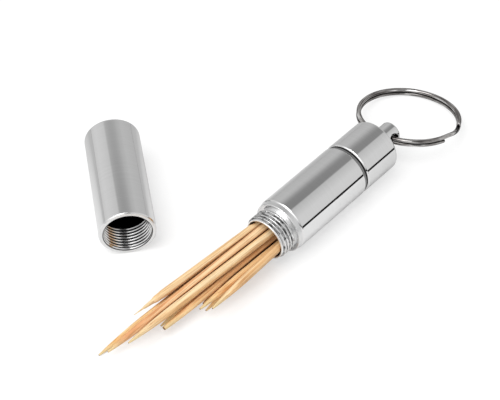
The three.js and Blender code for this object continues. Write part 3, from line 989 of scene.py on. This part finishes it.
def smoothstep(value, low, high):
    share = min(max((value - low) / (high - low), 0), 1)
    return share * share * (3 - 2 * share)


def wire_section():
    """Rounded outline of the flattened wire, as (outward, upward) pairs."""
    half_width, half_height = WIRE_WIDTH / 2 - WIRE_ROUNDING, WIRE_HEIGHT / 2 - WIRE_ROUNDING
    section = []
    for quarter in range(4):
        side = math.pi / 2 * quarter + math.pi / 4
        centre = (math.copysign(half_width, math.cos(side)), math.copysign(half_height, math.sin(side)))
        for i in range(WIRE_CORNER_STEPS + 1):
            angle = math.pi / 2 * (quarter + i / WIRE_CORNER_STEPS)
            out = centre[0] + WIRE_ROUNDING * math.cos(angle)
            section.append((out, centre[1] + WIRE_ROUNDING * math.sin(angle)))
    return section


def make_ring():
    """Split ring: upper turn, kink down to the lower turn, lower turn, with its cut ends eased."""
    first = KINK_ANGLE + KINK_HALF + WIRE_END_GAP
    last = KINK_ANGLE + 4 * math.pi - KINK_HALF - WIRE_END_GAP
    kink = KINK_ANGLE + 2 * math.pi - KINK_HALF
    mid = RING_OUTER - WIRE_WIDTH / 2
    ease = WIRE_END_LENGTH / mid
    reach = last - first - 2 * ease
    places = [(first + ease * share, size) for share, size in WIRE_END_SIZES]
    places += [(first + ease + reach * i / RING_STEPS, 1) for i in range(1, RING_STEPS)]
    places += [(last - ease * share, size) for share, size in reversed(WIRE_END_SIZES)]
    section = wire_section()
    bm = bmesh.new()
    rings = []
    for angle, size in places:
        height = LAYER_OFFSET * (1 - 2 * smoothstep(angle, kink, kink + 2 * KINK_HALF))
        ring = []
        for out, up in section:
            radius = mid + out * size
            place = Vector((radius * math.cos(angle), radius * math.sin(angle), height + up * size))
            ring.append(bm.verts.new(place * MM))
        rings.append(ring)
    for one, other in zip(rings, rings[1:]):
        join_rings(bm, one, other)
    bm.faces.new(rings[0])
    bm.faces.new(rings[-1])
    place = ring_place()
    piece = finish_mesh(bm, "split_ring_wire", gunmetal_material(place), place)
    dress(piece, "key_ring", "key_ring")


def pick_ends(node, way_out):
    """A toothpick's outer and inner end on its own axis, in metres, and its tip's radius in millimetres."""
    points = [v.co.copy() for v in frame["nodes"][node].data.vertices]
    along = [p.dot(way_out) for p in points]
    tips = [p for p, s in zip(points, along) if s > max(along) - END_TOLERANCE * MM]
    tails = [p for p, s in zip(points, along) if s < min(along) + END_TOLERANCE * MM]
    tip = sum(tips, Vector()) / len(tips)
    tail = sum(tails, Vector()) / len(tails)
    return tip, tail, max((p - tip).length for p in tips) / MM


def pick_radius(distance, tip_radius):
    """Radius at that distance from an end: a long point that fills out to the full size."""
    share = min(distance / PICK_TAPER, 1)
    fullness = (1 - (1 - share) ** PICK_FULLNESS) ** PICK_SLOPE
    return tip_radius + (PICK_RADIUS - tip_radius) * fullness


def needle_radius(distance):
    """Radius of the pick whose point is split down to a needle."""
    for (start, small), (end, large) in zip(NEEDLE_STOPS, NEEDLE_STOPS[1:]):
        if distance < end:
            return small + (large - small) * smoothstep(distance, start, end)
    return PICK_RADIUS


def make_pick(number, pale, deep):
    """One toothpick along x from its tip, slightly uneven, as split bamboo is."""
    name = f"toothpick_{number:02d}"
    way_out = Vector(joint_named(f"pick_{number:02d}_slide")["axis"]).normalized()
    tip, tail, tip_radius = pick_ends(name, way_out)
    length = (tail - tip).length / MM
    bm = bmesh.new()
    rings = []
    for i in range(PICK_RINGS + 1):
        share = i / PICK_RINGS
        crowded = share - math.sin(2 * math.pi * share) / (2 * math.pi) * PICK_CROWDING
        distance = length * crowded
        front = needle_radius(distance) if number == NEEDLE_PICK else pick_radius(distance, tip_radius)
        size = min(front, pick_radius(length - distance, PICK_TAIL_RADIUS))
        ring = []
        for j in range(PICK_SIDES):
            angle = 2 * math.pi * j / PICK_SIDES
            out, up = math.cos(angle), math.sin(angle)
            spot = (distance * DENTS_ALONG, out * DENTS_ROUND, up * DENTS_ROUND + DENTS_APART * number)
            radius = size * (1 + PICK_DENT * (noise.noise(Vector(spot)) - 1))
            place = Vector((distance, radius * out, radius * up))
            ring.append(bm.verts.new(place * MM))
        rings.append(ring)
    for one, other in zip(rings, rings[1:]):
        join_rings(bm, one, other)
    bm.faces.new(rings[0])
    bm.faces.new(rings[-1])
    turn = Vector((1, 0, 0)).rotation_difference(-way_out).to_matrix().to_4x4()
    place = Matrix.Translation(tip) @ turn
    seed = BAMBOO_SEED_STEP * number
    material = bamboo_material(f"bamboo_finish_{number:02d}", seed, place, pale, deep)
    piece = finish_mesh(bm, f"bamboo_pick_{number:02d}", material, place)
    dress(piece, name, name)


# Each toothpick's pale and deep colour, from the topmost to the lowest.
PICK_COLOURS = [
    ((1.00, 0.76, 0.41), (0.84, 0.44, 0.15)),
    ((1.00, 0.74, 0.44), (0.84, 0.43, 0.20)),
    ((1.00, 0.79, 0.49), (0.86, 0.51, 0.22)),
    ((1.00, 0.80, 0.50), (0.86, 0.53, 0.24)),
    ((1.00, 0.73, 0.38), (0.80, 0.39, 0.13)),
    ((1.00, 0.70, 0.37), (0.84, 0.42, 0.16)),
    ((1.00, 0.73, 0.39), (0.80, 0.39, 0.14)),
    ((1.00, 0.68, 0.34), (0.78, 0.35, 0.11)),
    ((1.00, 0.80, 0.50), (0.84, 0.51, 0.24)),
    ((0.98, 0.65, 0.32), (0.74, 0.33, 0.10)),
]


def make_picks():
    for number, (pale, deep) in enumerate(PICK_COLOURS, 1):
        make_pick(number, pale, deep)


# Studio: a pale tent whose walls the metal reflects, and a soft light from the front left.
# A wall's tones are (elevation, brightness) stops. Each wall starts at a bearing where it blends in.
NEAR_WALL = [(0, 0.5), (15, 0.9), (25, 1.3), (50, 1.3), (90, 0.6)]
CAMERA_WALL = [(0, 0.03), (12, 0.03), (25, 0.05), (36, 0.4), (90, 0.5)]
GLEAM_WALL = [(0, 0.6), (10, 1.1), (30, 1.1), (45, 0.5), (90, 0.5)]
RIGHT_WALL = [(0, 0.72), (30, 0.72), (45, 0.64), (60, 0.52), (90, 0.4)]
BACK_WALL = [(0, 0.52), (30, 0.56), (39, 0.50), (46, 0.38), (52, 0.285), (60, 0.25), (90, 0.3)]
LEFT_WALL = [(0, 0.66), (14, 0.72), (30, 0.68), (45, 0.60), (60, 0.52), (90, 0.4)]
WALLS = [
    ((-134, -129), CAMERA_WALL),
    ((-113, -108), GLEAM_WALL),
    ((-105, -95), RIGHT_WALL),
    ((-19, -13), BACK_WALL),
    ((72, 77), LEFT_WALL),
    ((125, 140), NEAR_WALL),
]


def wall_tone(tree, height, stops):
    return ramp(tree, height, [((angle + 90) / 180, grey(value)) for angle, value in stops])


def make_world():
    """World whose tone depends on bearing and height only, like the walls of a light tent."""
    world = bpy.data.worlds.new("tent")
    world.use_nodes = True
    tree = world.node_tree
    tree.nodes.clear()
    way = add_node(tree, "ShaderNodeTexCoord").outputs["Generated"]
    parts = parts_of(tree, way)
    lift = computed(tree, "ARCSINE", parts[Z])
    height = mapped_range(tree, lift, -math.pi / 2, math.pi / 2, 0, 1)
    swing = computed(tree, "ARCTAN2", parts[Y], parts[X])
    bearing = mapped_range(tree, swing, -math.pi, math.pi, -180, 180)
    tone = wall_tone(tree, height, NEAR_WALL)
    for edge, stops in WALLS:
        tone = blended(tree, mapped_range(tree, bearing, *edge, 0, 1), tone, wall_tone(tree, height, stops))
    background = add_node(tree, "ShaderNodeBackground", {"Color": tone, "Strength": 1.0})
    output = add_node(tree, "ShaderNodeOutputWorld")
    tree.links.new(background.outputs[0], output.inputs["Surface"])
    bpy.context.scene.world = world


# The floor is paler towards its near side, and dark past an edge on the right. Seen directly it is white
# all over, and it keeps the shadows.
FLOOR_REACH = 2400
FLOOR_GAP = 0.02
FLOOR_NEAR_BEARING = math.radians(-138)
FLOOR_FAR_EDGE = -40
FLOOR_NEAR_EDGE = 20
FLOOR_FAR_TONE = 0.46
FLOOR_NEAR_TONE = 0.79
FLOOR_DARK_EDGE = -99
FLOOR_PALE_EDGE = -93
FLOOR_DARK_SHARE = 0.02
FLOOR_WHITE = 1.03
FLOOR_SEEN_SHARE = 0.68
FLOOR_REFLECTED = 0.04


def make_floor():
    """Plain pale table that glows white where it is seen directly, and a little where it is mirrored."""
    material, tree = new_material("floor_finish")
    place = add_node(tree, "ShaderNodeTexCoord").outputs["Object"]
    way = (math.cos(FLOOR_NEAR_BEARING) / MM, math.sin(FLOOR_NEAR_BEARING) / MM, 0)
    along = vector_computed(tree, "DOT_PRODUCT", place, way)["Value"]
    slope = mapped_range(tree, along, FLOOR_FAR_EDGE, FLOOR_NEAR_EDGE, FLOOR_FAR_TONE, FLOOR_NEAR_TONE)
    across = parts_of(tree, place)[Y]
    pale = mapped_length(tree, across, FLOOR_DARK_EDGE, FLOOR_PALE_EDGE, FLOOR_DARK_SHARE, 1)
    rays = add_node(tree, "ShaderNodeLightPath").outputs
    share = mapped_range(tree, rays["Is Camera Ray"], 0, 1, 1, FLOOR_SEEN_SHARE)
    tone = multiplied(tree, multiplied(tree, slope, pale), share)
    glow = computed(tree, "SUBTRACT", FLOOR_WHITE, tone)
    seen = multiplied(tree, rays["Is Camera Ray"], glow)
    mirrored = computed(tree, "MAXIMUM", rays["Is Glossy Ray"], rays["Is Transmission Ray"])
    white = computed(tree, "MULTIPLY_ADD", mirrored, multiplied(tree, pale, FLOOR_REFLECTED), seen)
    matt = add_node(tree, "ShaderNodeBsdfDiffuse", {"Color": tone})
    light = add_node(tree, "ShaderNodeEmission", {"Color": grey(1), "Strength": white})
    total = add_node(tree, "ShaderNodeAddShader", {0: matt.outputs[0], 1: light.outputs[0]})
    finish_material(tree, total)
    bm = bmesh.new()
    corners = [(-1, -1), (1, -1), (1, 1), (-1, 1)]
    spots = [Vector((x * FLOOR_REACH, y * FLOOR_REACH, -FLOOR_GAP)) * MM for x, y in corners]
    bm.faces.new([bm.verts.new(spot) for spot in spots])
    finish_mesh(bm, "floor", material)


LAMP_SIZE = 0.8
LAMP_POWER = 6.5
LAMP_BEARING = math.radians(172)
LAMP_HEIGHT = math.radians(70)
LAMP_DISTANCE = 1.1


def make_lamp():
    """Large soft light, high up in front of the open mouth."""
    light = bpy.data.lights.new("front_softbox", "AREA")
    light.shape = "SQUARE"
    light.size = LAMP_SIZE
    light.energy = LAMP_POWER
    lamp = bpy.data.objects.new("front_softbox", light)
    level = math.cos(LAMP_HEIGHT)
    out = Vector((math.cos(LAMP_BEARING) * level, math.sin(LAMP_BEARING) * level, math.sin(LAMP_HEIGHT)))
    turn = out.to_track_quat("Z", "Y").to_matrix().to_4x4()
    lamp.matrix_world = Matrix.Translation(out * LAMP_DISTANCE) @ turn
    bpy.context.scene.collection.objects.link(lamp)


CAMERA_PLACE = Vector((-211.06, -192.08, 295.8))
CAMERA_BEARING = math.radians(41.33)
CAMERA_DIP = math.radians(46.52)
CAMERA_LENS = 109.8
CAMERA_SENSOR = 36
CAMERA_NEAR = 0.01
CAMERA_FAR = 20


def make_camera():
    data = bpy.data.cameras.new("camera")
    data.lens = CAMERA_LENS
    data.sensor_width = CAMERA_SENSOR
    data.clip_start = CAMERA_NEAR
    data.clip_end = CAMERA_FAR
    camera = bpy.data.objects.new("camera", data)
    camera.rotation_euler = (math.pi / 2 - CAMERA_DIP, 0, CAMERA_BEARING - math.pi / 2)
    camera.location = CAMERA_PLACE * MM
    bpy.context.scene.collection.objects.link(camera)
    bpy.context.scene.camera = camera


bpy.context.scene.view_settings.view_transform = "Standard"
make_camera()
make_world()
make_floor()
make_lamp()
make_barrel()
make_seal()
make_tail_cap()
make_front_cap()
make_ring()
make_picks()
